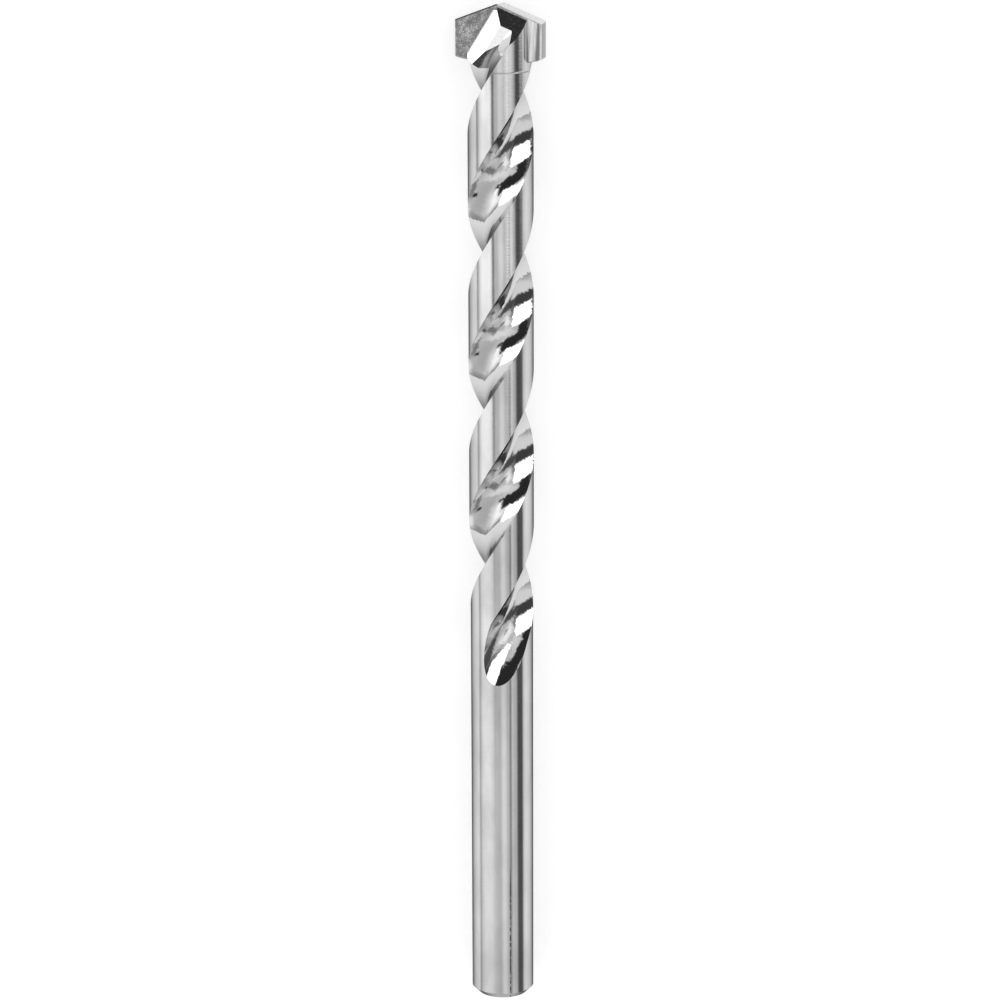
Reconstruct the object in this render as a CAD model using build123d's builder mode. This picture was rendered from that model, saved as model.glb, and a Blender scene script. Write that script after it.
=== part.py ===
from build123d import *
from math import cos, radians, sin, tan
import os

# A masonry drill bit, lying on its side. The bit's axis is the Y axis, with the
# middle of the shank's end face at the origin and the point towards +Y.

# Overall
overall_length = 150.0
body_diameter = 9.5
shank_diameter = 9.25
end_chamfer = 0.9

# How far the bit is rolled about its axis as it lies: the plate's slope from level
plate_roll = 19.0

# The shank grows into the fluted body over a long, slight taper
taper_start = 60.0
taper_length = 10.0

# Flutes: two, right-handed, milled by a wheel with a round tread
flute_lead = 46.9
flute_length = 91.55
flute_angle_at_tip = -64.6
flute_stretches = 4
web_thickness = 3.8
wheel_radius = 32.0
wheel_tread_radius = 3.45
wheel_tilt = 30.7
wheel_arc = 40.0

# Ground head: a hair thinner than the body
head_length = 9.5
head_step = 0.05

# Carbide plate
cutting_diameter = 13.1
plate_thickness = 2.65
point_slope = 21.2
relief_angle = 3.0
plate_side_height = 5.25
plate_bottom_slope = 10.0
plate_bottom_radius = 0.7
corner_bevel = 0.25

# Brazing metal between the plate and its slot
braze_gap = 0.1

# Steel ground away behind the plate, and the gash in front of it
clearance_drop = 0.25
clearance_slope = 58.0
gash_top = (-0.62, -0.84)
gash_foot = (-4.46, -6.95)
gash_slope = 40.0
gash_past_axis = 0.1

# Steel jaws that the flutes leave in front of the plate, with a ramp down to the flute
jaw_thickness = 1.4
jaw_corner = (-2.7, -9.2)
jaw_foot_rise = 38.0
ramp_start = (-0.29, -6.08)
ramp_rise = 27.0
ramp_slope = 30.0

# Room that a cutting shape runs past the steel
spare = 4.0

body_radius = body_diameter / 2
shank_radius = shank_diameter / 2
tip_radius = cutting_diameter / 2
web_radius = web_thickness / 2
half_plate = plate_thickness / 2
half_slot = half_plate + braze_gap
flute_end = overall_length - flute_length


def cross_plane(height, turn=0.0):
    """A plane square to the axis, with x turned from the plate's length and z to the point."""
    angle = radians(plate_roll - turn)
    return Plane(origin=(0, height, 0), x_dir=(cos(angle), 0, sin(angle)), z_dir=(0, 1, 0))


def flute_angle(height):
    """Where a flute's middle stands about the axis, from the plate's length."""
    return flute_angle_at_tip - (overall_length - height) * 360 / flute_lead


def tread_plane(height, turn):
    """The plane of the wheel's tread at a height: x points from the bit's axis to the hub."""
    across = cross_plane(height, flute_angle(height) + turn)
    tilt = radians(wheel_tilt)
    travel = across.from_local_coords(Vector(0, sin(tilt), cos(tilt))) - across.origin
    return Plane(origin=across.origin, x_dir=across.x_dir, z_dir=travel)


def head_plane(origin, x_dir, z_dir, turn):
    """A plane given from the point: x along the plate, y across it, z along the axis."""
    frame = cross_plane(overall_length, turn)
    start = frame.from_local_coords(Vector(*origin))
    ahead = frame.from_local_coords(Vector(*x_dir)) - frame.origin
    normal = frame.from_local_coords(Vector(*z_dir)) - frame.origin
    return Plane(origin=start, x_dir=ahead, z_dir=normal)


# Heights on the plate, measured from the shank's end
side_top = overall_length - tip_radius * tan(radians(point_slope))
side_bottom = side_top - plate_side_height
plate_bottom = side_bottom - tip_radius * tan(radians(plate_bottom_slope))

plate_angle = radians(plate_roll)
plate_plane = Plane(
    origin=(0, 0, 0),
    x_dir=(cos(plate_angle), 0, sin(plate_angle)),
    z_dir=(-sin(plate_angle), 0, cos(plate_angle)),
)

# Turned bar, before anything is milled
with BuildPart() as bar:
    with BuildSketch(Plane.XY):
        with BuildLine():
            Polyline(
                (0, 0),
                (shank_radius - end_chamfer, 0),
                (shank_radius, end_chamfer),
                (shank_radius, taper_start),
                (body_radius, taper_start + taper_length),
                (body_radius, overall_length - head_length),
                (body_radius - head_step, overall_length - head_length + head_step),
                (body_radius - head_step, overall_length),
                (0, overall_length),
                close=True,
            )
        make_face()
    revolve(axis=Axis.Y)

# The jaws: a block in front of the plate with a pointed foot, its front planed down to a ramp
with BuildPart() as jaws:
    for turn in (0, 180):
        outer_foot = jaw_corner[1] + (body_radius + jaw_corner[0]) * tan(radians(jaw_foot_rise))
        with BuildSketch(head_plane((0, 0, 0), (1, 0, 0), (0, -1, 0), turn)):
            with BuildLine():
                Polyline(
                    jaw_corner,
                    (body_radius, jaw_corner[1]),
                    (body_radius, spare),
                    (-body_radius, spare),
                    (-body_radius, outer_foot),
                    close=True,
                )
            make_face()
        extrude(amount=half_plate + jaw_thickness)
    for turn in (0, 180):
        rise = radians(ramp_rise)
        fall = radians(ramp_slope)
        along = Vector(cos(rise), 0, sin(rise))
        outward = Vector(sin(rise) * sin(fall), -cos(fall), -cos(rise) * sin(fall))
        foot = (ramp_start[0], -half_plate - jaw_thickness, ramp_start[1])
        with BuildSketch(head_plane(foot, along, outward, turn)):
            Rectangle(body_diameter * 2, body_diameter * 2, align=(Align.CENTER, Align.MAX))
        extrude(amount=body_diameter, mode=Mode.SUBTRACT)

# The helical run of both flutes, as the wheel leaves it, from its last place to past the point
stretch = (flute_length + spare) / flute_stretches
with BuildPart() as flutes:
    for number in range(flute_stretches * 2):
        turn = 180 * (number % 2)
        start = flute_end + stretch * (number // 2)
        with BuildLine(cross_plane(start)) as twist_axis:
            Line((0, 0, 0), (0, 0, stretch))
        with BuildLine(cross_plane(start)) as twist_guide:
            Helix(flute_lead, stretch, body_radius, direction=(0, 1, 0))
        with BuildSketch(tread_plane(start, turn)):
            with Locations((web_radius + wheel_tread_radius, 0)):
                Circle(wheel_tread_radius)
        sweep(path=twist_axis.wire(), binormal=twist_guide.wire())
    add(jaws.part, mode=Mode.SUBTRACT)

# The wheel's round tread, turned towards the shank from where it stands
with BuildPart() as wheels:
    for turn in (0, 180):
        tread = tread_plane(flute_end, turn)
        with BuildSketch(tread):
            with Locations((web_radius + wheel_tread_radius, 0)):
                Circle(wheel_tread_radius)
        hub = tread.from_local_coords(Vector(web_radius + wheel_radius, 0, 0))
        revolve(axis=Axis(hub, -tread.y_dir), revolution_arc=wheel_arc)

# The roof of the point: two planes that meet in a level chisel edge
roof_rise = tan(radians(point_slope))
roof_tilt = tan(radians(relief_angle))
roof_reach = cutting_diameter
with BuildPart() as above_roof:
    for turn in (0, 180):
        with BuildSketch(head_plane((0, 0, 0), (1, 0, -roof_rise), (roof_rise, -roof_tilt, 1), turn)):
            Rectangle(roof_reach * 2, roof_reach * 2)
        extrude(amount=roof_reach)

# What is ground away at the head, on both sides of the plate
with BuildPart() as grinding:
    add(above_roof.part)
    for turn in (0, 180):
        slope = radians(point_slope)
        fall = radians(clearance_slope)
        along = Vector(cos(slope), 0, -sin(slope))
        down = Vector(0, -cos(fall), -sin(fall))
        behind = head_plane((0, -half_plate, -clearance_drop), along, along.cross(down) * -1, turn)
        with BuildSketch(behind):
            Rectangle(body_diameter, body_diameter * 2, align=(Align.MIN, Align.CENTER))
        extrude(amount=body_diameter)
    for turn in (0, 180):
        foot = Vector(gash_foot[0], -half_plate, gash_foot[1])
        top = Vector(gash_top[0], -half_plate, gash_top[1])
        rise = (top - foot).normalized()
        outward = Vector(-rise.Z, 0, rise.X)
        reach = body_diameter
        lift = reach * tan(radians(gash_slope))
        with BuildSketch(head_plane(foot - rise * spare, outward, rise, turn)):
            with BuildLine():
                Polyline((0, 0), (reach, 0), (reach, reach), (-reach, reach), (-reach, lift), close=True)
            make_face()
        extrude(amount=reach * 2 + spare)
        with BuildSketch(head_plane(top, (1, 0, 0), (0, 0, 1), turn)):
            Rectangle(gash_past_axis - gash_top[0], reach, align=(Align.MIN, Align.MAX))
        extrude(amount=spare)

# Plate, with small bevels at its outer top corners and rounded lower corners
with BuildPart() as carbide_tip:
    with BuildSketch(plate_plane) as outline:
        with BuildLine():
            Polyline(
                (tip_radius, side_bottom),
                (0, plate_bottom),
                (-tip_radius, side_bottom),
                (-tip_radius, side_top - corner_bevel),
                (-tip_radius + corner_bevel, side_top + spare),
                (tip_radius - corner_bevel, side_top + spare),
                (tip_radius, side_top - corner_bevel),
                close=True,
            )
        make_face()
        fillet(outline.vertices().group_by(Axis.Y)[1], plate_bottom_radius)
    extrude(amount=half_plate, both=True)
    with BuildSketch(cross_plane(plate_bottom - spare)):
        Circle(tip_radius)
    extrude(amount=overall_length, mode=Mode.INTERSECT)
    add(above_roof.part, mode=Mode.SUBTRACT)

# The slot in the steel, with room for the brazing metal below and beside the plate
with BuildPart() as slot:
    with BuildSketch(plate_plane):
        with BuildLine():
            Polyline(
                (tip_radius, overall_length + spare),
                (tip_radius, side_bottom - braze_gap),
                (0, plate_bottom - braze_gap),
                (-tip_radius, side_bottom - braze_gap),
                (-tip_radius, overall_length + spare),
                close=True,
            )
        make_face()
    extrude(amount=half_slot, both=True)

with BuildPart() as steel_body:
    add(bar.part)
    add(flutes.part, mode=Mode.SUBTRACT)
    add(wheels.part, mode=Mode.SUBTRACT)
    add(grinding.part, mode=Mode.SUBTRACT)
    add(slot.part, mode=Mode.SUBTRACT)

with BuildPart() as braze_seam:
    add(bar.part)
    add(slot.part, mode=Mode.INTERSECT)
    add(flutes.part, mode=Mode.SUBTRACT)
    add(grinding.part, mode=Mode.SUBTRACT)
    add(carbide_tip.part, mode=Mode.SUBTRACT)

os.makedirs("parts", exist_ok=True)
steel_body.part.label = "steel_body"
carbide_tip.part.label = "carbide_tip"
braze_seam.part.label = "braze_seam"
export_step(steel_body.part, "parts/steel_body.step")
export_step(carbide_tip.part, "parts/carbide_tip.step")
export_step(braze_seam.part, "parts/braze_seam.step")
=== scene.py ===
from math import cos, pi, radians, sin, tan

import bmesh
import bpy
from mathutils import Matrix, Vector


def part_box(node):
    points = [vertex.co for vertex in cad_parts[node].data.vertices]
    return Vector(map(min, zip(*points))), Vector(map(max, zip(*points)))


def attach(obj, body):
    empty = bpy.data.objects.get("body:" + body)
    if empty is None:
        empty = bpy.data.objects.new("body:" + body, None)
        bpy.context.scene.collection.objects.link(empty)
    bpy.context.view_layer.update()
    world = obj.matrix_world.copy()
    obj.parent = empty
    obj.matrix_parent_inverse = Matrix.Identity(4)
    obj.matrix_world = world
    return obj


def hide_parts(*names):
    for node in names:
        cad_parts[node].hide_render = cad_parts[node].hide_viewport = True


# A masonry drill bit lies on its lands on a pale floor. Its axis is the Y axis, with
# the point towards +Y, and the camera looks down on it. The steel and the carbide plate
# are made again here, in millimetres, fine enough to mirror their surroundings without
# facets. Most sizes are the solids' own. The flutes' section and run-out, the gash, the
# groove at the head and the honed edges follow the photograph closer than the solids.

MILLIMETRE = 0.001
UP_THE_AXIS = Vector((0, 1, 0))

# Turned bar, in millimetres
OVERALL_LENGTH = 150.0
BODY_RADIUS = 4.75
SHANK_RADIUS = 4.625
END_CHAMFER = 0.9
TAPER_START = 60.0
TAPER_LENGTH = 10.0
HEAD_LENGTH = 9.5
HEAD_STEP = 0.05
RING_WIDTH = 0.25
RING_DEPTH = 0.05
PLATE_ROLL = radians(19.0)

# Flutes and the wheel that mills them
FLUTE_LEAD = 46.9
FLUTE_LENGTH = 92.5
FLUTE_ANGLE_AT_TIP = radians(-64.6)
WEB_RADIUS = 2.1
WHEEL_RADIUS = 25.0
TREAD_RADIUS = 3.0
TREAD_HALF_ARC = radians(20.0)
SHOULDER_RADIUS = 6.0
SHOULDER_ARC = radians(42.0)
TREAD_BACK = 2.5
WHEEL_TILT = radians(30.7)
WHEEL_ARC = radians(40.0)

# Carbide plate, its slot and its honed edges
CUTTING_RADIUS = 6.55
HALF_PLATE = 1.325
POINT_SLOPE = radians(21.2)
RELIEF_ANGLE = radians(3.0)
PLATE_SIDE_HEIGHT = 5.25
PLATE_BOTTOM_SLOPE = radians(10.0)
PLATE_BOTTOM_RADIUS = 0.7
CORNER_BEVEL = 0.25
BRAZE_GAP = 0.1
CUTTING_EDGE_WIDTH = 0.2
HONE_WIDTH = 0.1

# What is ground away at the head, with places along the plate and from the point
CLEARANCE_DROP = 0.25
CLEARANCE_SLOPE = radians(58.0)
GASH_TOP = (-0.62, -0.84)
GASH_FOOT = (-4.46, -6.95)
GASH_SLOPE = radians(30.2)
GASH_WIDTH = 3.0
GASH_PAST_AXIS = 0.1
JAW_THICKNESS = 1.4
JAW_CORNER = (-2.7, -9.2)
JAW_FOOT_RISE = radians(38.0)
RAMP_START = (-0.29, -6.08)
RAMP_RISE = radians(27.0)
RAMP_SLOPE = radians(30.0)

# Room that a cutting shape runs past the steel
SPARE = 4.0

# How finely the pieces are made. Close to these values of FLUTE_ROW and GASH_WIDTH the
# boolean can leave an empty mesh.
BAR_SIDES = 240
BAR_ROW = 2.0
ARC_SIDES = 32
SHOULDER_SIDES = 40
WHEEL_ROWS = 54
FLUTE_ROW = 0.44
CORNER_SIDES = 8
PLATE_LAYERS = 8

# Material slots of ground faces and of the cutting edges' bevels
GROUND_SLOT = 1
EDGE_SLOT = 2

# Angles between faces that count as none, as a crease and as an edge to hone
FLAT_ANGLE = radians(0.05)
CREASE_ANGLE = radians(20)
HONED_ANGLE = radians(25)

# How far a cutting edge may be off, in millimetres and in rise for its length
NEAR = 0.01
NEAR_RISE = 0.05

# The camera, as the photograph was taken
METRES_PER_PIXEL = 0.000147
PICTURE_PIXELS = 1000
CAMERA_DISTANCE_PIXELS = 3800
CAMERA_TILT = radians(15.0)
CAMERA_ROLL = -0.0029
AIM_Y = 0.076904
BIT_AXIS_PIXEL = 501.6
SENSOR_MM = 36.0

# The floor, and the light that falls on everything
FLOOR_SIZE = 0.22
FLOOR_GREY = 0.8
FLOOR_LIFT = 0.48
WORLD_LEVEL = 0.75

# The steel's grey, and its tint where it is seen at a slant, of flat and of round faces
STEEL_COLOUR = 0.66
STEEL_EDGE = 0.35
ROUND_EDGE = 0.12

# Roughness of each surface
SATIN_ROUGHNESS = 0.13
POLISHED_ROUGHNESS = 0.07
GROUND_ROUGHNESS = 0.1
SINTERED_ROUGHNESS = 0.32
ROOF_ROUGHNESS = 0.16
HONED_ROUGHNESS = 0.3
BRAZE_ROUGHNESS = 0.35

# Patterns: grain along x, y and z and depth of relief, in millimetres. Pairs of greys are
# where on the pattern, from 0 to 1, and how pale.
GRINDING_GRAIN = (2.5, 0.14, 2.5)
GRINDING_DEPTH = 0.007
STAIN_GRAIN = (3.5, 9.0, 3.5)
STAIN_GREYS = [(0.35, STEEL_COLOUR - 0.1), (0.6, STEEL_COLOUR)]
MILLING_GRAIN = (0.9, 0.9, 0.9)
MILLING_DEPTH = 0.024
FLAT_GRAIN = (0.5, 0.5, 0.5)
FLAT_DEPTH = 0.012
SPECK_GRAIN = (0.16, 0.16, 0.16)
SPECK_DEPTH = 0.012
BLOTCH_GRAIN = (1.3, 1.3, 1.3)
BLOTCH_SHARE = 0.45
SINTERED_GREYS = [(0.36, 0.17), (0.5, 0.3), (0.66, 0.8)]
# The streaks on the plate's outer end are painted reflection streaks.
SHEEN_STREAK_GRAIN = (0.7, 9, 0.7)
SHEEN_STREAK_GREYS = [(0.36, 0.25), (0.5, 0.75), (0.6, 1.0)]
ROOF_GRAIN = (0.25, 0.1, 0.25)
ROOF_DEPTH = 0.004
ROOF_GREYS = [(0.3, 0.55), (0.7, 0.8)]
# The greys of the cutting edges' bevels are painted shade.
HONED_AND_SHADE_GRAIN = (0.4, 0.1, 0.4)
HONED_DEPTH = 0.003
PAINTED_EDGE_SHADE_GREYS = [(0.3, 0.03), (0.7, 0.12)]
BRAZE_GRAIN = (0.5, 0.5, 0.5)
BRAZE_DEPTH = 0.03
BRAZE_GREYS = [(0.35, 0.42), (0.65, 0.68)]

# Each metal's plain grey, in whose place its pattern comes
SINTERED_GREY = 0.42
ROOF_GREY = 0.7
# The cutting edges' grey is painted shade.
PAINTED_EDGE_SHADE_GREY = 0.1
BRAZE_GREY = 0.55

# Where the plate gets painted reflection streaks, and where its outermost end gets a painted dark
# reflection, in millimetres from the axis
PAINTED_SHEEN_START = 3.1
PAINTED_SHEEN_END = 3.5
PAINTED_DARK_START = 5.75
PAINTED_DARK_END = 5.9
PAINTED_DARK_GREY = 0.33

# A scratch on the shank, in millimetres: its middle, half its width or length, its soft edge
SCRATCH_ACROSS = (1.14, 0.05, 0.08)
SCRATCH_ALONG = (9.0, 9.0, 4.0)
SCRATCH_GREY = 0.12
SCRATCH_GRAIN = (0.4, 0.5, 0.4)
SCRATCH_BREAKS = [(0.38, 0.0), (0.5, 1.0)]

# The screen's curve, from how bright a grey looks to how much light it is
BRIGHTEST = 255
CURVE_OFFSET = 0.055
CURVE_POWER = 2.4

# How bright the room looks in the steel between the cards, from 0 to 255
ROOM_GREY = 178
CARD_ROUNDNESS = 0.3

# Each card that the steel mirrors: how far round from straight up (to the right) and how
# far towards the point its middle is, in degrees, its half width and half height, its
# turn, its soft edge, and how bright it looks in the steel, where over 255 is past white.
CARDS = [
    ((78, 8), (24, 52), 20, 0.5, 205),
    ((99, 18), (12, 24), 20, 0.6, 150),
    ((-28, -42), (42, 15), 0, 0.6, 166),
    ((-66, -71), (26, 7), -15, 0.6, 225),
    ((2, -14), (6.5, 41), 41, 0.6, 213),
    ((-50, -15), (25, 17), 0, 0.6, 206),
    ((-62, -7), (17, 11), 0, 0.8, 246),
    ((-95, -4), (9, 8), -8, 0.6, 135),
    ((-90, -42), (10, 18), 20, 0.7, 135),
    ((46, -41), (5, 21), 60, 0.5, 112),
    ((20, -67), (38, 4.5), 4, 0.6, 118),
    ((22, -6), (5, 19), 64, 0.5, 232),
    ((29, 5), (14, 3.5), -12, 0.5, 120),
    ((31, -18), (3.5, 7), 20, 0.6, 112),
    ((64, -13), (8, 26), 42, 0.4, 68),
    ((71, -17), (12, 8), 10, 0.5, 72),
    ((48, 27), (12, 24), 0, 0.2, 58),
    ((5, 49), (52, 4), 0, 0.3, 85),
    ((-10, 58), (36, 6), 0, 0.2, 32),
    ((-41, -8), (7, 6), 0, 0.5, 248),
    ((-14, -61), (6, 4), 0, 0.5, 24),
    ((-31, -4), (3.5, 12), 30, 0.5, 70),
    ((-45, 20), (15, 23), -6, 0.18, 36),
    ((-30, 37), (24, 9), 0, 0.18, 36),
    ((13, 29), (21, 18), -6, 0.12, 330),
    ((-91, 23), (29, 17), 10, 0.12, 330),
]


def linear(level):
    """A brightness from 0 to 255 as it looks on screen, as linear light."""
    share = level / BRIGHTEST
    return ((share + CURVE_OFFSET) / (1 + CURVE_OFFSET)) ** CURVE_POWER


# Shapes


def mesh_object(name, points, faces, material):
    """A closed mesh in millimetres, with its faces turned outwards."""
    mesh = bpy.data.meshes.new(name)
    mesh.from_pydata([tuple(point) for point in points], [], faces)
    mesh.materials.append(material)
    shape = bmesh.new()
    shape.from_mesh(mesh)
    bmesh.ops.recalc_face_normals(shape, faces=shape.faces)
    shape.to_mesh(mesh)
    shape.free()
    made = bpy.data.objects.new(name, mesh)
    bpy.context.scene.collection.objects.link(made)
    return made


def rings_object(name, rings, material):
    """A closed mesh through a row of rings with the same number of points."""
    sides = len(rings[0])
    points = [point for ring in rings for point in ring]
    faces = []
    for row in range(len(rings) - 1):
        for side in range(sides):
            after = (side + 1) % sides
            low = row * sides
            high = low + sides
            faces.append((low + side, low + after, high + after, high + side))
    last = (len(rings) - 1) * sides
    faces.append(tuple(range(sides)))
    faces.append(tuple(range(last, last + sides)))
    return mesh_object(name, points, faces, material)


def prism(name, outline, reach, material):
    """A closed mesh: an outline and the same outline moved by reach."""
    sides = len(outline)
    points = list(outline) + [point + reach for point in outline]
    faces = [tuple(range(sides)), tuple(range(2 * sides - 1, sides - 1, -1))]
    for side in range(sides):
        after = (side + 1) % sides
        faces.append((side, after, after + sides, side + sides))
    return mesh_object(name, points, faces, material)


def carve(target, cutter):
    """Cuts the cutter out of the target, and drops the cutter."""
    cut = target.modifiers.new("cut", "BOOLEAN")
    cut.operation = "DIFFERENCE"
    cut.solver = "EXACT"
    cut.material_mode = "TRANSFER"
    cut.object = cutter
    depsgraph = bpy.context.evaluated_depsgraph_get()
    result = bpy.data.meshes.new_from_object(target.evaluated_get(depsgraph))
    target.modifiers.clear()
    target.data = result
    bpy.data.objects.remove(cutter)


def across_axes(turn):
    """Two directions square to the bit's axis: along the plate and across it, then turned."""
    angle = PLATE_ROLL - turn
    return Vector((cos(angle), 0, sin(angle))), Vector((sin(angle), 0, -cos(angle)))


def head_vector(along, across, up, turn):
    """A direction given as along the plate, across it and up the axis."""
    x_dir, y_dir = across_axes(turn)
    return x_dir * along + y_dir * across + UP_THE_AXIS * up


def head_point(along, across, up, turn):
    """A place given from the point, as along the plate, across it and up the axis."""
    return head_vector(along, across, up, turn) + UP_THE_AXIS * OVERALL_LENGTH


def head_corners(origin, x_dir, z_dir, corners, turn):
    """Corners drawn on a plane of the head, as places."""
    right = x_dir.normalized()
    up = z_dir.normalized().cross(right)
    return [head_point(*(origin + right * x + up * y), turn) for x, y in corners]


def bar_run(start, end, first_radius, last_radius):
    """Rows of the turned bar after start, up to end."""
    rows = max(1, round((end - start) / BAR_ROW))
    steps = [row / rows for row in range(1, rows + 1)]
    return [(first_radius + (last_radius - first_radius) * s, start + (end - start) * s) for s in steps]


def make_bar(material):
    """The turned bar, before anything is milled."""
    foot = OVERALL_LENGTH - HEAD_LENGTH
    neck = foot + RING_WIDTH
    head_radius = BODY_RADIUS - HEAD_STEP
    taper_end = TAPER_START + TAPER_LENGTH
    profile = [(SHANK_RADIUS - END_CHAMFER, 0), (SHANK_RADIUS, END_CHAMFER)]
    profile += bar_run(END_CHAMFER, TAPER_START, SHANK_RADIUS, SHANK_RADIUS)
    profile += bar_run(TAPER_START, taper_end, SHANK_RADIUS, BODY_RADIUS)
    profile += bar_run(taper_end, foot, BODY_RADIUS, BODY_RADIUS)
    profile += [(head_radius - RING_DEPTH, foot + RING_WIDTH / 2), (head_radius, neck)]
    profile += bar_run(neck, OVERALL_LENGTH, head_radius, head_radius)
    rings = []
    for radius, height in profile:
        angles = [2 * pi * side / BAR_SIDES for side in range(BAR_SIDES)]
        rings.append([Vector((radius * cos(a), height, radius * sin(a))) for a in angles])
    return rings_object("steel", rings, material)


def tread_profile():
    """The wheel's section from its tread's middle: a round tread with a wider curve each side."""
    shares = [2 * side / ARC_SIDES - 1 for side in range(ARC_SIDES + 1)]
    angles = [TREAD_HALF_ARC * share for share in shares]
    arc = [(-cos(angle) * TREAD_RADIUS, sin(angle) * TREAD_RADIUS) for angle in angles]
    wider = SHOULDER_RADIUS - TREAD_RADIUS
    centre = (cos(TREAD_HALF_ARC) * wider, -sin(TREAD_HALF_ARC) * wider)
    shoulder = []
    for side in range(1, SHOULDER_SIDES + 1):
        angle = TREAD_HALF_ARC + SHOULDER_ARC * side / SHOULDER_SIDES
        shoulder.append((centre[0] - cos(angle) * SHOULDER_RADIUS, centre[1] + sin(angle) * SHOULDER_RADIUS))
    shoulder.append((shoulder[-1][0] + TREAD_BACK, shoulder[-1][1]))
    return arc + shoulder + [(x, -y) for x, y in reversed(shoulder)]


def tread_ring(height, turn):
    """The wheel's section where it cuts at a height, with the middle and line of its hub."""
    twist = (OVERALL_LENGTH - height) * 2 * pi / FLUTE_LEAD
    outward, across = across_axes(FLUTE_ANGLE_AT_TIP - twist + turn)
    travel = across * sin(WHEEL_TILT) + UP_THE_AXIS * cos(WHEEL_TILT)
    hub_line = travel.cross(outward)
    origin = UP_THE_AXIS * height
    centre = origin + outward * (WEB_RADIUS + TREAD_RADIUS)
    ring = [centre + outward * x + hub_line * y for x, y in tread_profile()]
    return ring, origin + outward * (WEB_RADIUS + WHEEL_RADIUS), hub_line


def make_flute(turn, material):
    """What the wheel takes out: its run-out towards the shank, then the helix past the point."""
    start = OVERALL_LENGTH - FLUTE_LENGTH
    first, hub, hub_line = tread_ring(start, turn)
    rings = []
    for row in range(WHEEL_ROWS, 0, -1):
        spin = Matrix.Rotation(WHEEL_ARC * row / WHEEL_ROWS, 3, -hub_line)
        rings.append([hub + spin @ (point - hub) for point in first])
    run = FLUTE_LENGTH + SPARE
    rows = round(run / FLUTE_ROW)
    for row in range(rows + 1):
        rings.append(tread_ring(start + run * row / rows, turn)[0])
    return rings_object("flute", rings, material)


def make_jaw(turn, material):
    """A jaw's block in front of the plate, with its front planed down to a ramp."""
    side = BODY_RADIUS
    outer_foot = JAW_CORNER[1] + (side + JAW_CORNER[0]) * tan(JAW_FOOT_RISE)
    outline = [JAW_CORNER, (side, JAW_CORNER[1]), (side, SPARE), (-side, SPARE), (-side, outer_foot)]
    depth = HALF_PLATE + JAW_THICKNESS
    places = [head_point(x, 0, y, turn) for x, y in outline]
    jaw = prism("jaw", places, head_vector(0, -depth, 0, turn), material)

    along = Vector((cos(RAMP_RISE), 0, sin(RAMP_RISE)))
    fall = sin(RAMP_SLOPE)
    outward = Vector((sin(RAMP_RISE) * fall, -cos(RAMP_SLOPE), -cos(RAMP_RISE) * fall))
    reach = side * 4
    corners = [(-reach, -reach), (reach, -reach), (reach, 0), (-reach, 0)]
    foot = Vector((RAMP_START[0], -depth, RAMP_START[1]))
    places = head_corners(foot, along, outward, corners, turn)
    carve(jaw, prism("ramp", places, head_vector(*(outward * reach), turn), material))
    return jaw


def roof_cutter(turn, material):
    """What lies above one half of the roof."""
    rise = tan(POINT_SLOPE)
    normal = Vector((rise, -tan(RELIEF_ANGLE), 1)).normalized()
    reach = CUTTING_RADIUS * 2
    corners = [(-reach, -reach), (reach, -reach), (reach, reach), (-reach, reach)]
    places = head_corners(Vector(), Vector((1, 0, -rise)), normal, corners, turn)
    return prism("above_roof", places, head_vector(*(normal * reach), turn), material)


def clearance_cutter(turn, material):
    """What is ground away behind the plate."""
    along = Vector((cos(POINT_SLOPE), 0, -sin(POINT_SLOPE)))
    down = Vector((0, -cos(CLEARANCE_SLOPE), -sin(CLEARANCE_SLOPE)))
    normal = down.cross(along)
    reach = BODY_RADIUS * 2
    corners = [(0, -reach), (reach, -reach), (reach, reach), (0, reach)]
    corner = Vector((0, -HALF_PLATE, -CLEARANCE_DROP))
    places = head_corners(corner, along, normal, corners, turn)
    return prism("clearance", places, head_vector(*(normal * reach), turn), material)


def gash_cutter(turn, material):
    """What the gash takes out in front of the plate."""
    foot = Vector((GASH_FOOT[0], -HALF_PLATE, GASH_FOOT[1]))
    top = Vector((GASH_TOP[0], -HALF_PLATE, GASH_TOP[1]))
    rise = (top - foot).normalized()
    outward = Vector((-rise.z, 0, rise.x))
    reach = BODY_RADIUS * 2
    lift = GASH_WIDTH * tan(GASH_SLOPE)
    corners = [(0, 0), (reach, 0), (reach, reach), (-GASH_WIDTH, reach), (-GASH_WIDTH, lift)]
    places = head_corners(foot - rise * SPARE, outward, rise, corners, turn)
    return prism("gash", places, head_vector(*(rise * (reach * 2 + SPARE)), turn), material)


def gash_top_cutter(turn, material):
    """What the gash takes out beside the chisel edge."""
    top = Vector((GASH_TOP[0], -HALF_PLATE, GASH_TOP[1]))
    width = GASH_PAST_AXIS - GASH_TOP[0]
    reach = BODY_RADIUS * 2
    corners = [(0, -reach), (width, -reach), (width, 0), (0, 0)]
    places = head_corners(top, Vector((1, 0, 0)), Vector((0, 0, 1)), corners, turn)
    return prism("gash_top", places, head_vector(0, 0, SPARE, turn), material)


def plate_heights():
    """The upper and lower ends of the plate's sides, and its lowest corner, from the point."""
    side_top = -CUTTING_RADIUS * tan(POINT_SLOPE)
    side_bottom = side_top - PLATE_SIDE_HEIGHT
    return side_top, side_bottom, side_bottom - CUTTING_RADIUS * tan(PLATE_BOTTOM_SLOPE)


def slot_cutter(material):
    """The plate's slot, with room for the brazing metal."""
    side_bottom, bottom = plate_heights()[1:]
    side = CUTTING_RADIUS
    half = HALF_PLATE + BRAZE_GAP
    low = side_bottom - BRAZE_GAP
    outline = [(side, SPARE), (side, low), (0, bottom - BRAZE_GAP), (-side, low), (-side, SPARE)]
    places = [head_point(x, half, y, 0) for x, y in outline]
    return prism("slot", places, head_vector(0, -half * 2, 0, 0), material)


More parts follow.
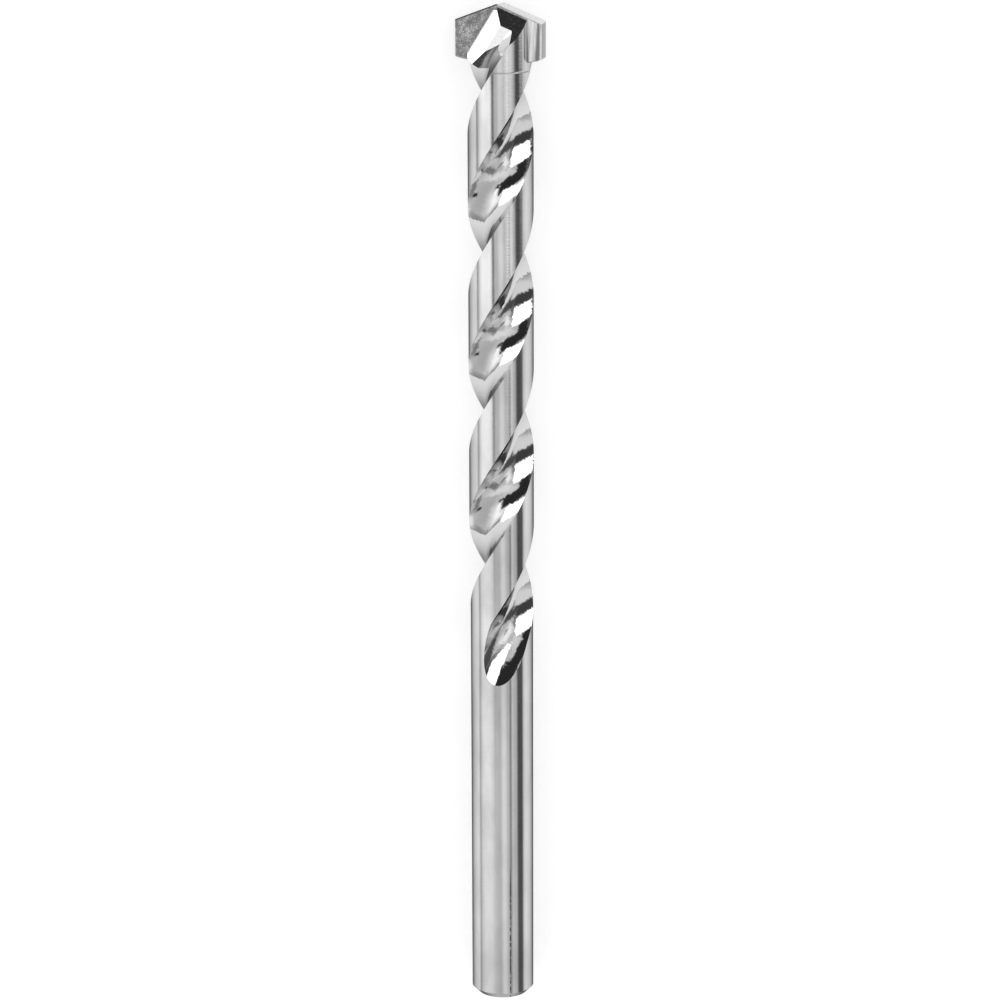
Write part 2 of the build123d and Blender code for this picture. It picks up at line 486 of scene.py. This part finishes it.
def plate_outline():
    """The plate's outline before its roof is ground: along the plate, and from the point."""
    side_top, side_bottom, bottom = plate_heights()
    side = CUTTING_RADIUS
    right = [(side - CORNER_BEVEL, SPARE), (side, side_top - CORNER_BEVEL)]
    half_turn = (pi / 2 - PLATE_BOTTOM_SLOPE) / 2
    centre = (side - PLATE_BOTTOM_RADIUS, side_bottom + PLATE_BOTTOM_RADIUS * tan(half_turn))
    for step in range(CORNER_SIDES + 1):
        angle = -2 * half_turn * step / CORNER_SIDES
        place = (centre[0] + cos(angle) * PLATE_BOTTOM_RADIUS, centre[1] + sin(angle) * PLATE_BOTTOM_RADIUS)
        right.append(place)
    return right + [(0, bottom)] + [(-x, y) for x, y in reversed(right)]


def is_cutting_edge(edge):
    """Whether an edge of the plate is one of its two long cutting edges."""
    along, across = across_axes(0)
    middle = (edge.verts[0].co + edge.verts[1].co) / 2
    run = (edge.verts[1].co - edge.verts[0].co).normalized()
    on_face = abs(abs(middle.dot(across)) - HALF_PLATE) < NEAR
    sloping = abs(abs(run.y) - sin(POINT_SLOPE)) < NEAR_RISE
    above_sides = middle.y > OVERALL_LENGTH + plate_heights()[0]
    return on_face and sloping and above_sides and middle.dot(along) * middle.dot(across) > 0


def bevel_edges(shape, edges, width, material_index):
    """Bevels edges and gives their new faces a material."""
    bevel = bmesh.ops.bevel(shape, geom=edges, offset=width, segments=1, affect="EDGES", clamp_overlap=False)
    for face in bevel["faces"]:
        face.material_index = material_index


def make_plate():
    """The carbide plate, with its roof ground and its edges honed."""
    sintered = carbide_material()
    ground = ground_carbide_material()
    rings = []
    for layer in range(PLATE_LAYERS + 1):
        across = HALF_PLATE * (2 * layer / PLATE_LAYERS - 1)
        side = (CUTTING_RADIUS ** 2 - across ** 2) ** 0.5
        rings.append([head_point(max(-side, min(side, x)), across, y, 0) for x, y in plate_outline()])
    plate = rings_object("plate", rings, sintered)
    for turn in (0, pi):
        carve(plate, roof_cutter(turn, ground))
    plate.data.materials.append(cutting_edge_material())

    shape = bmesh.new()
    shape.from_mesh(plate.data)
    bmesh.ops.dissolve_limit(
        shape, angle_limit=FLAT_ANGLE, verts=shape.verts, edges=shape.edges, delimit={"MATERIAL"}
    )
    cutting = [edge for edge in shape.edges if is_cutting_edge(edge)]
    bevel_edges(shape, cutting, CUTTING_EDGE_WIDTH, EDGE_SLOT)
    others = [edge for edge in shape.edges if edge.is_manifold and edge.calc_face_angle() > HONED_ANGLE]
    others = [edge for edge in others if all(face.material_index != EDGE_SLOT for face in edge.link_faces)]
    bevel_edges(shape, others, HONE_WIDTH, GROUND_SLOT)
    for vert in shape.verts:
        shrink = min(1, CUTTING_RADIUS / Vector((vert.co.x, vert.co.z)).length)
        vert.co = (vert.co.x * shrink, vert.co.y, vert.co.z * shrink)
    shape.to_mesh(plate.data)
    shape.free()
    finish_mesh(plate)
    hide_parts("carbide_tip")
    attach(plate, "root")


def finish_mesh(piece):
    """Shades ground faces flat and the rest smooth up to its creases, and goes over to metres."""
    shape = bmesh.new()
    shape.from_mesh(piece.data)
    for face in shape.faces:
        face.smooth = face.material_index != GROUND_SLOT
    for edge in shape.edges:
        if len(edge.link_faces) == 2:
            first, second = edge.link_faces
            creased = edge.calc_face_angle(0) > CREASE_ANGLE
            edge.smooth = not creased and first.material_index == second.material_index
    bmesh.ops.triangulate(shape, faces=[face for face in shape.faces if len(face.verts) > 4])
    bmesh.ops.scale(shape, vec=(MILLIMETRE, MILLIMETRE, MILLIMETRE), verts=shape.verts)
    shape.to_mesh(piece.data)
    shape.free()


def make_steel():
    """The bar with its head ground, its slot cut and its flutes milled."""
    satin = ground_round_material()
    polished = flute_material()
    ground = ground_flat_material()
    steel = make_bar(satin)
    turns = (0, pi)
    for cutter in (roof_cutter, clearance_cutter, gash_cutter, gash_top_cutter):
        for turn in turns:
            carve(steel, cutter(turn, ground))
    carve(steel, slot_cutter(ground))
    for turn in turns:
        flute = make_flute(turn, polished)
        carve(flute, make_jaw(turn, ground))
        carve(steel, flute)
    finish_mesh(steel)
    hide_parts("steel_body")
    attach(steel, "root")


# Node helpers


def new_material(name):
    """A material with an empty node tree, and its nodes, its links and its output."""
    material = bpy.data.materials.new(name)
    material.use_nodes = True
    nodes = material.node_tree.nodes
    nodes.clear()
    output = nodes.new("ShaderNodeOutputMaterial")
    return material, nodes, material.node_tree.links, output


def feed(links, socket, value):
    """Sets a socket to a number, or links it to another socket."""
    if isinstance(value, (int, float)):
        socket.default_value = value
    else:
        links.new(value, socket)


def math_node(nodes, links, operation, *values):
    """A math node whose inputs are numbers or sockets. Gives its output."""
    node = nodes.new("ShaderNodeMath")
    node.operation = operation
    for socket, value in zip(node.inputs, values):
        feed(links, socket, value)
    return node.outputs[0]


def blend(nodes, links, share, first, second):
    """From the first level to the second by a share. Gives the level."""
    mix = nodes.new("ShaderNodeMix")
    mix.data_type = "FLOAT"
    feed(links, mix.inputs["Factor"], share)
    feed(links, mix.inputs[2], first)
    feed(links, mix.inputs[3], second)
    return mix.outputs[0]


def grey_steps(nodes, links, value, steps):
    """A grey for each value: a ramp through pairs of place and level."""
    ramp = nodes.new("ShaderNodeValToRGB")
    stops = ramp.color_ramp.elements
    while len(stops) < len(steps):
        stops.new(0.5)
    for stop, (place, level) in zip(stops, steps):
        stop.position = place
        stop.color = (level, level, level, 1)
    links.new(value, ramp.inputs[0])
    return ramp.outputs[0]


def object_place(nodes, links):
    """The x, y and z of a place on the object, in metres."""
    place = nodes.new("ShaderNodeTexCoord")
    split = nodes.new("ShaderNodeSeparateXYZ")
    links.new(place.outputs["Object"], split.inputs[0])
    return split.outputs


def noise(nodes, links, periods, detail):
    """Cloudy noise, with its grain size along x, y and z in millimetres."""
    place = nodes.new("ShaderNodeTexCoord")
    scale = nodes.new("ShaderNodeMapping")
    scale.inputs["Scale"].default_value = [1 / (period * MILLIMETRE) for period in periods]
    links.new(place.outputs["Object"], scale.inputs["Vector"])
    cloud = nodes.new("ShaderNodeTexNoise")
    cloud.inputs["Scale"].default_value = 1.0
    cloud.inputs["Detail"].default_value = detail
    links.new(scale.outputs[0], cloud.inputs["Vector"])
    return cloud.outputs[0]


def band(nodes, links, value, middle, half_width, soft):
    """1 where a value is near the middle, and 0 further off, in millimetres."""
    off = math_node(nodes, links, "SUBTRACT", value, middle * MILLIMETRE)
    cover = nodes.new("ShaderNodeMapRange")
    cover.inputs["From Min"].default_value = (half_width + soft) * MILLIMETRE
    cover.inputs["From Max"].default_value = half_width * MILLIMETRE
    links.new(math_node(nodes, links, "ABSOLUTE", off), cover.inputs["Value"])
    return cover.outputs[0]


def beyond(nodes, links, value, start, end):
    """0 below the start and 1 above the end, in millimetres."""
    cover = nodes.new("ShaderNodeMapRange")
    cover.interpolation_type = "SMOOTHSTEP"
    cover.inputs["From Min"].default_value = start * MILLIMETRE
    cover.inputs["From Max"].default_value = end * MILLIMETRE
    links.new(value, cover.inputs["Value"])
    return cover.outputs[0]


def raise_surface(nodes, links, shader, height, depth):
    """Bumps the surface by a height, at most depth millimetres deep."""
    bump = nodes.new("ShaderNodeBump")
    bump.inputs["Distance"].default_value = depth * MILLIMETRE
    links.new(height, bump.inputs["Height"])
    links.new(bump.outputs[0], shader.inputs["Normal"])


# Materials


def metal(name, grey, roughness, edge=1.0):
    """A bare metal of one grey and roughness: its material, nodes, links and shader."""
    material, nodes, links, output = new_material(name)
    shader = nodes.new("ShaderNodeBsdfPrincipled")
    shader.inputs["Base Color"].default_value = (grey, grey, grey, 1)
    shader.inputs["Metallic"].default_value = 1.0
    shader.inputs["Roughness"].default_value = roughness
    shader.inputs["Specular Tint"].default_value = (edge, edge, edge, 1)
    links.new(shader.outputs["BSDF"], output.inputs["Surface"])
    return material, nodes, links, shader


def ground_round_material():
    """Land and shank: ground round and round to a satin finish, with one long scratch."""
    name = "steel_ground_round"
    material, nodes, links, shader = metal(name, STEEL_COLOUR, SATIN_ROUGHNESS, ROUND_EDGE)
    lines = noise(nodes, links, GRINDING_GRAIN, detail=2)
    raise_surface(nodes, links, shader, lines, GRINDING_DEPTH)

    x, y, z = object_place(nodes, links)
    across = band(nodes, links, x, *SCRATCH_ACROSS)
    along = band(nodes, links, y, *SCRATCH_ALONG)
    on_top = math_node(nodes, links, "GREATER_THAN", z, 0.0)
    broken = grey_steps(nodes, links, noise(nodes, links, SCRATCH_GRAIN, detail=1), SCRATCH_BREAKS)
    scratch = math_node(nodes, links, "MULTIPLY", across, along)
    scratch = math_node(nodes, links, "MULTIPLY", scratch, on_top)
    scratch = math_node(nodes, links, "MULTIPLY", scratch, broken)
    clean = grey_steps(nodes, links, noise(nodes, links, STAIN_GRAIN, detail=3), STAIN_GREYS)
    links.new(blend(nodes, links, scratch, clean, SCRATCH_GREY), shader.inputs["Base Color"])
    return material


def flute_material():
    """Flutes, polished along their length, with the slight waves that milling leaves."""
    material, nodes, links, shader = metal("steel_flute", STEEL_COLOUR, POLISHED_ROUGHNESS, STEEL_EDGE)
    waves = noise(nodes, links, MILLING_GRAIN, detail=2)
    raise_surface(nodes, links, shader, waves, MILLING_DEPTH)
    return material


def ground_flat_material():
    """Flats that are ground at the head."""
    name = "steel_ground_flat"
    material, nodes, links, shader = metal(name, STEEL_COLOUR, GROUND_ROUGHNESS, STEEL_EDGE)
    waves = noise(nodes, links, FLAT_GRAIN, detail=3)
    raise_surface(nodes, links, shader, waves, FLAT_DEPTH)
    return material


def carbide_material():
    """Sintered hard metal, grey and matt, with specks and pale blotches, painted reflection streaks towards
    its outer end and a painted dark reflection on that end.
    """
    material, nodes, links, shader = metal("hard_metal", SINTERED_GREY, SINTERED_ROUGHNESS)
    specks = noise(nodes, links, SPECK_GRAIN, detail=4)
    blotches = noise(nodes, links, BLOTCH_GRAIN, detail=3)
    mottle = grey_steps(nodes, links, blend(nodes, links, BLOTCH_SHARE, specks, blotches), SINTERED_GREYS)
    sheen_streaks = grey_steps(nodes, links, noise(nodes, links, SHEEN_STREAK_GRAIN, detail=2), SHEEN_STREAK_GREYS)
    x = object_place(nodes, links)[0]
    # Towards the outer end the grey is painted reflection streaks, and on the end itself a painted dark
    # reflection.
    painted_sheen = beyond(nodes, links, x, PAINTED_SHEEN_START, PAINTED_SHEEN_END)
    painted_dark = beyond(nodes, links, x, PAINTED_DARK_START, PAINTED_DARK_END)
    grey = blend(nodes, links, painted_dark, blend(nodes, links, painted_sheen, mottle, sheen_streaks), PAINTED_DARK_GREY)
    links.new(grey, shader.inputs["Base Color"])
    raise_surface(nodes, links, shader, specks, SPECK_DEPTH)
    return material


def lined_material(name, grey, roughness, grain, greys, depth, detail=2):
    """A bare metal whose grey and relief follow the same pattern."""
    material, nodes, links, shader = metal(name, grey, roughness)
    lines = noise(nodes, links, grain, detail)
    links.new(grey_steps(nodes, links, lines, greys), shader.inputs["Base Color"])
    raise_surface(nodes, links, shader, lines, depth)
    return material


def ground_carbide_material():
    """The plate's ground roof and honed edges."""
    return lined_material(
        "hard_metal_ground", ROOF_GREY, ROOF_ROUGHNESS, ROOF_GRAIN, ROOF_GREYS, ROOF_DEPTH
    )


def cutting_edge_material():
    """The cutting edges' honed bevels, painted dark: painted shade along each cutting edge."""
    # Its dark greys are painted shade along the cutting edge.
    return lined_material(
        "honed_edge_painted_shade", PAINTED_EDGE_SHADE_GREY, HONED_ROUGHNESS, HONED_AND_SHADE_GRAIN, PAINTED_EDGE_SHADE_GREYS, HONED_DEPTH
    )


def braze_material():
    """Dull brazing metal, with the small waves in which it set."""
    return lined_material(
        "brazing_metal", BRAZE_GREY, BRAZE_ROUGHNESS, BRAZE_GRAIN, BRAZE_GREYS, BRAZE_DEPTH, detail=3
    )


def dress(node_name, material):
    """Gives a carried-over node its material."""
    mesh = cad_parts[node_name].data
    mesh.materials.clear()
    mesh.materials.append(material)


# Camera, floor and surroundings


def make_camera():
    """Looks down on the bit, from beyond its point."""
    distance = CAMERA_DISTANCE_PIXELS * METRES_PER_PIXEL
    ahead = Vector((0, -sin(CAMERA_TILT), -cos(CAMERA_TILT)))
    right = Vector((1, 0, 0))
    up = right.cross(ahead)
    turn = Matrix((right, up, -ahead)).transposed() @ Matrix.Rotation(CAMERA_ROLL, 3, "Z")
    data = bpy.data.cameras.new("camera")
    data.sensor_fit = "HORIZONTAL"
    data.sensor_width = SENSOR_MM
    data.lens = SENSOR_MM * CAMERA_DISTANCE_PIXELS / PICTURE_PIXELS
    data.shift_x = (PICTURE_PIXELS / 2 - BIT_AXIS_PIXEL) / PICTURE_PIXELS
    camera = bpy.data.objects.new("camera", data)
    camera.location = Vector((0, AIM_Y, 0)) - ahead * distance
    camera.rotation_euler = turn.to_euler()
    bpy.context.scene.collection.objects.link(camera)
    bpy.context.scene.camera = camera


def seen_directly(nodes, links, path):
    """1 for rays from the camera, also where they come through something clear."""
    camera = path.outputs["Is Camera Ray"]
    return math_node(nodes, links, "MAXIMUM", camera, path.outputs["Is Transmission Ray"])


def make_floor(height):
    """A pale floor, lifted to white where it is seen or mirrored, which keeps the bit's shadow."""
    material, nodes, links, output = new_material("pale_floor")
    diffuse = nodes.new("ShaderNodeBsdfDiffuse")
    diffuse.inputs["Color"].default_value = (FLOOR_GREY, FLOOR_GREY, FLOOR_GREY, 1)
    lift = nodes.new("ShaderNodeEmission")
    lift.inputs["Color"].default_value = (1, 1, 1, 1)
    path = nodes.new("ShaderNodeLightPath")
    seen = seen_directly(nodes, links, path)
    seen = math_node(nodes, links, "MAXIMUM", seen, path.outputs["Is Glossy Ray"])
    strength = math_node(nodes, links, "MULTIPLY", seen, FLOOR_LIFT)
    links.new(strength, lift.inputs["Strength"])
    both = nodes.new("ShaderNodeAddShader")
    links.new(diffuse.outputs[0], both.inputs[0])
    links.new(lift.outputs[0], both.inputs[1])
    links.new(both.outputs[0], output.inputs["Surface"])

    half = FLOOR_SIZE / 2
    corners = [(-half, -half, 0), (half, -half, 0), (half, half, 0), (-half, half, 0)]
    mesh = bpy.data.meshes.new("floor")
    mesh.from_pydata(corners, [], [(0, 1, 2, 3)])
    mesh.materials.append(material)
    floor = bpy.data.objects.new("floor", mesh)
    floor.location = (0, AIM_Y, height)
    bpy.context.scene.collection.objects.link(floor)


def card_cover(nodes, links, angles, middle, half_size, turn, soft_edge):
    """1 inside a card, 0 outside it, with a soft edge between."""
    place = nodes.new("ShaderNodeMapping")
    place.vector_type = "TEXTURE"
    place.inputs["Location"].default_value = (*middle, 0)
    place.inputs["Rotation"].default_value = (0, 0, radians(turn))
    place.inputs["Scale"].default_value = (*half_size, 1)
    links.new(angles, place.inputs["Vector"])
    split = nodes.new("ShaderNodeSeparateXYZ")
    links.new(place.outputs[0], split.inputs[0])
    across = math_node(nodes, links, "ABSOLUTE", split.outputs[0])
    upward = math_node(nodes, links, "ABSOLUTE", split.outputs[1])
    cover = nodes.new("ShaderNodeMapRange")
    cover.interpolation_type = "SMOOTHSTEP"
    cover.inputs["From Min"].default_value = 1 + soft_edge
    cover.inputs["From Max"].default_value = 1 - soft_edge
    links.new(math_node(nodes, links, "SMOOTH_MAX", across, upward, CARD_ROUNDNESS), cover.inputs["Value"])
    return cover.outputs[0]


def make_surroundings():
    """Plain light on everything, the cards that metal mirrors, and white for the eye."""
    world = bpy.data.worlds.new("studio")
    bpy.context.scene.world = world
    world.use_nodes = True
    nodes = world.node_tree.nodes
    links = world.node_tree.links
    nodes.clear()
    output = nodes.new("ShaderNodeOutputWorld")
    path = nodes.new("ShaderNodeLightPath")

    place = nodes.new("ShaderNodeTexCoord")
    split = nodes.new("ShaderNodeSeparateXYZ")
    links.new(place.outputs["Generated"], split.inputs[0])
    around = math_node(nodes, links, "ARCTAN2", split.outputs[0], split.outputs[2])
    towards_point = math_node(nodes, links, "ARCSINE", split.outputs[1])
    angles = nodes.new("ShaderNodeCombineXYZ")
    links.new(math_node(nodes, links, "DEGREES", around), angles.inputs[0])
    links.new(math_node(nodes, links, "DEGREES", towards_point), angles.inputs[1])

    level = linear(ROOM_GREY) / STEEL_COLOUR
    for middle, half_size, turn, soft_edge, brightness in CARDS:
        cover = card_cover(nodes, links, angles.outputs[0], middle, half_size, turn, soft_edge)
        level = blend(nodes, links, cover, level, linear(brightness) / STEEL_COLOUR)

    room = nodes.new("ShaderNodeBackground")
    room.inputs["Strength"].default_value = WORLD_LEVEL
    mirrored = nodes.new("ShaderNodeBackground")
    links.new(level, mirrored.inputs["Strength"])
    seen = nodes.new("ShaderNodeBackground")
    for background in (room, mirrored, seen):
        background.inputs["Color"].default_value = (1, 1, 1, 1)
    in_metal = nodes.new("ShaderNodeMixShader")
    links.new(path.outputs["Is Glossy Ray"], in_metal.inputs[0])
    links.new(room.outputs[0], in_metal.inputs[1])
    links.new(mirrored.outputs[0], in_metal.inputs[2])
    to_eye = nodes.new("ShaderNodeMixShader")
    links.new(seen_directly(nodes, links, path), to_eye.inputs[0])
    links.new(in_metal.outputs[0], to_eye.inputs[1])
    links.new(seen.outputs[0], to_eye.inputs[2])
    links.new(to_eye.outputs[0], output.inputs["Surface"])


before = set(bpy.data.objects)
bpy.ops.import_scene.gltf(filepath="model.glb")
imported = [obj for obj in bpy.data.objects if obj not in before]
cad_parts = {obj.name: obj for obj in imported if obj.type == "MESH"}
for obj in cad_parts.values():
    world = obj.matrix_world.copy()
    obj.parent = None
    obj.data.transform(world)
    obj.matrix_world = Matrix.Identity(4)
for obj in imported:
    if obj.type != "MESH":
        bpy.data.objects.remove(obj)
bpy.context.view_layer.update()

make_steel()
make_plate()
dress("braze_seam", braze_material())

make_camera()
make_floor(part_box("steel_body")[0].z)
make_surroundings()
bpy.context.scene.view_settings.view_transform = "Standard"
